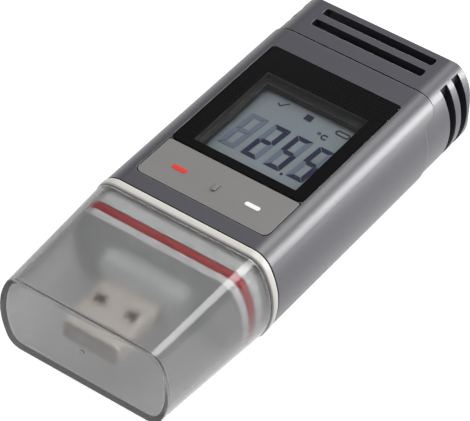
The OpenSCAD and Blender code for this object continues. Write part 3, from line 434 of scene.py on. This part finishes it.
def make_cap():
    """The clear cap: a tapered shell with a rounded end edge and a small gate mark."""
    low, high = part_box("usb_cap")
    middle_z = (low.z + high.z) / 2
    rim_w, rim_h = high.x, (high.z - low.z) / 2
    rim_y, end_y = high.y, low.y + GATE_H

    def outline(share, inset):
        """The cap's section, from the rim at share 0 to the end face at share 1."""
        start = section_line(rim_w - inset, rim_h - inset, SIDE_R - inset, CORNER_R - inset)
        end = section_line(rim_w - CAP_DRAW_W - inset, rim_h - CAP_DRAW_H - inset,
                           END_SIDE_R, END_CORNER_R - inset / 2)
        return [(a[0] + (b[0] - a[0]) * share, a[1] + (b[1] - a[1]) * share)
                for a, b in zip(start, end)]

    def end_turn(inset):
        """Rings of the rounded edge, from the end face back to the side."""
        rings = []
        for step in range(EDGE_STEPS + 1):
            turn = math.pi / 2 * step / EDGE_STEPS
            drawn = CAP_EDGE * (1 - math.sin(turn))
            y = end_y + inset + CAP_EDGE * (1 - math.cos(turn))
            rings.append(ring_at(outline(1, inset + drawn), y, middle_z))
        return rings

    def side(inset, first_y, last_y, steps):
        rings = []
        whole = rim_y - end_y - inset - CAP_EDGE
        for step in range(1, steps + 1):
            y = first_y + (last_y - first_y) * step / steps
            share = (rim_y - y) / whole
            rings.append(ring_at(outline(share, inset), y, middle_z))
        return rings

    face_line = outline(1, CAP_EDGE)
    gate = []
    for x, z in face_line:
        angle = math.atan2(z, x)
        gate.append((GATE_SHOWN * math.cos(angle), GATE_SHOWN * math.sin(angle)))
    rings = [ring_at(gate, low.y, middle_z), ring_at(gate, end_y, middle_z)]
    rings += end_turn(0)
    rings += side(0, end_y + CAP_EDGE, rim_y - RIM_EDGE, CAP_STEPS)
    rings.append(ring_at(outline(0, RIM_EDGE), rim_y, middle_z))
    outer = len(rings)
    rings.append(ring_at(outline(0, CAP_WALL - RIM_EDGE), rim_y, middle_z))
    inner = side(CAP_WALL, end_y + CAP_WALL + CAP_EDGE, rim_y - RIM_EDGE, CAP_STEPS)
    rings += reversed(inner)
    rings += reversed(end_turn(CAP_WALL))
    cap = loft("clear_cap", rings, MATERIALS["clear_plastic"],
               frosted=range(outer + 1, len(rings)))
    stand_in(cap, "usb_cap", "cap")


def make_seal():
    """The red ring: a round cord laid along the collar's section."""
    low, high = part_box("seal_ring")
    middle_z = (low.z + high.z) / 2
    middle_y = (low.y + high.y) / 2
    radius = (high.y - low.y) / 2
    half_w = high.x - radius
    half_h = (high.z - low.z) / 2 - radius
    rings = []
    for step in range(CORD_STEPS):
        turn = 2 * math.pi * step / CORD_STEPS
        out = radius * math.cos(turn)
        line = section_line(half_w + out, half_h + out, SEAL_SIDE_R + out,
                            SEAL_CORNER_R + out)
        rings.append(ring_at(line, middle_y + radius * math.sin(turn), middle_z))
    seal = loft("red_seal", rings, MATERIALS["seal_rubber"], closed=True)
    stand_in(seal, "seal_ring", "housing")


def make_trim():
    """The white ring, its outer edges rounded over."""
    low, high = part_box("trim_ring")
    middle_z = (low.z + high.z) / 2
    half_w, half_h = high.x, (high.z - low.z) / 2
    quarter = math.pi / 2
    profile = [(low.y, RING_WALL)]
    for first, y in ((-quarter, low.y + TRIM_EDGE), (0, high.y - TRIM_EDGE)):
        for step in range(EDGE_STEPS + 1):
            turn = first + quarter * step / EDGE_STEPS
            profile.append((y + TRIM_EDGE * math.sin(turn), TRIM_EDGE * (1 - math.cos(turn))))
    profile.append((high.y, RING_WALL))
    rings = [ring_at(section_line(half_w - inset, half_h - inset, SIDE_R - inset,
                                  CORNER_R - inset), y, middle_z)
             for y, inset in profile]
    trim = loft("white_ring", rings, MATERIALS["ring_plastic"], closed=True)
    stand_in(trim, "trim_ring", "housing")


def make_pane():
    """The window's pane: its upper edge is rounded, and it is sunk a hair into the mask,
    as that is printed on it."""
    low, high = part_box("display_window")
    middle_y = (low.y + high.y) / 2
    half_l = (high.y - low.y) / 2

    def ring(inset, z):
        radius = PANE_CORNER_R - inset
        reach_x = high.x - PANE_CORNER_R
        reach_y = half_l - PANE_CORNER_R
        points = []
        for k, (side_x, side_y) in enumerate(((1, 1), (-1, 1), (-1, -1), (1, -1))):
            first = math.pi / 2 * k
            points += arc(side_x * reach_x, middle_y + side_y * reach_y, radius, first,
                          first + math.pi / 2, CORNER_STEPS)
        return [Vector((x, y, z)) for x, y in points]

    rings = [ring(0, low.z - PANE_SINK), ring(0, high.z - PANE_EDGE)]
    for step in range(1, EDGE_STEPS + 1):
        turn = math.pi / 2 * step / EDGE_STEPS
        rings.append(ring(PANE_EDGE * (1 - math.cos(turn)),
                          high.z - PANE_EDGE * (1 - math.sin(turn))))
    pane = loft("clear_pane", rings, MATERIALS["window_pane"])
    stand_in(pane, "display_window", "housing")


make_cap()
make_seal()
make_trim()
make_pane()


# Stage: floor with a backdrop wall, lamps and camera

def backdrop_material():
    """Pale and matt, but white to the camera and to gloss, and dimmer through clear parts."""
    paint = Paint("backdrop")
    paint.set(Base_Color=(FLOOR_GREY, FLOOR_GREY, FLOOR_GREY, 1), Roughness=1,
              Specular_IOR_Level=0)
    path = paint.add("ShaderNodeLightPath")
    glow = None
    for name, strength in FLOOR_GLOWS.items():
        total = paint.add("ShaderNodeMath", operation="MULTIPLY_ADD", use_clamp=True)
        paint.join(path.outputs[name], total.inputs[0])
        total.inputs[1].default_value = strength
        total.inputs[2].default_value = 0
        if glow:
            paint.join(glow, total.inputs[2])
        glow = total.outputs["Value"]
    paint.set(Emission_Color=(1, 1, 1, 1))
    paint.join(glow, paint.shader.inputs["Emission Strength"])
    return paint.material


def make_backdrop():
    """A round floor whose edge turns up into a low wall."""
    flat_r = FLOOR_RADIUS - FLOOR_TURN_R
    profile = [(flat_r, 0)]
    for step in range(1, FLOOR_TURN_STEPS + 1):
        angle = math.pi / 2 * step / FLOOR_TURN_STEPS
        profile.append((flat_r + FLOOR_TURN_R * math.sin(angle),
                        FLOOR_TURN_R - FLOOR_TURN_R * math.cos(angle)))
    profile.append((FLOOR_RADIUS, WALL_HEIGHT))
    mesh = bpy.data.meshes.new("backdrop")
    work = bmesh.new()
    centre = work.verts.new((0, 0, 0))
    rings = []
    for radius, height in profile:
        ring = []
        for k in range(FLOOR_SIDES):
            angle = 2 * math.pi * k / FLOOR_SIDES
            place = (radius * math.cos(angle), radius * math.sin(angle), height)
            ring.append(work.verts.new(place))
        rings.append(ring)
    for k in range(FLOOR_SIDES):
        work.faces.new((centre, rings[0][k], rings[0][(k + 1) % FLOOR_SIDES]))
    for low, high in zip(rings, rings[1:]):
        for k in range(FLOOR_SIDES):
            n = (k + 1) % FLOOR_SIDES
            work.faces.new((low[k], high[k], high[n], low[n]))
    bmesh.ops.recalc_face_normals(work, faces=work.faces)
    work.to_mesh(mesh)
    work.free()
    for face in mesh.polygons:
        face.use_smooth = True
    mesh.materials.append(backdrop_material())
    piece = bpy.data.objects.new("backdrop", mesh)
    bpy.context.scene.collection.objects.link(piece)


def make_world():
    """An even white light from all round."""
    world = bpy.data.worlds.new("studio")
    world.use_nodes = True
    shade = world.node_tree.nodes["Background"]
    shade.inputs["Color"].default_value = (1, 1, 1, 1)
    shade.inputs["Strength"].default_value = WORLD_LEVEL
    bpy.context.scene.world = world


def make_lamp(name, place, width, height, power):
    """A softbox that faces the object."""
    data = bpy.data.lights.new(name, "AREA")
    data.shape = "RECTANGLE"
    data.size = width
    data.size_y = height
    data.energy = power
    thing = bpy.data.objects.new(name, data)
    thing.location = place
    look = Vector(LAMP_TARGET) - Vector(place)
    thing.rotation_mode = "QUATERNION"
    thing.rotation_quaternion = look.to_track_quat("-Z", "Y")
    bpy.context.scene.collection.objects.link(thing)


def make_camera():
    """The camera, at the photograph's place and with its view."""
    data = bpy.data.cameras.new("camera")
    data.lens = CAMERA_LENS
    data.sensor_width = CAMERA_SENSOR
    data.sensor_fit = "HORIZONTAL"
    data.clip_start = CAMERA_NEAR
    data.clip_end = CAMERA_FAR
    thing = bpy.data.objects.new("camera", data)
    thing.location = CAMERA_PLACE
    thing.rotation_euler = [math.radians(angle) for angle in CAMERA_TURN]
    bpy.context.scene.collection.objects.link(thing)
    bpy.context.scene.camera = thing


make_backdrop()
make_world()
make_camera()
for lamp_name, settings in LAMPS.items():
    make_lamp(lamp_name, *settings)

bpy.context.scene.view_settings.view_transform = "Standard"
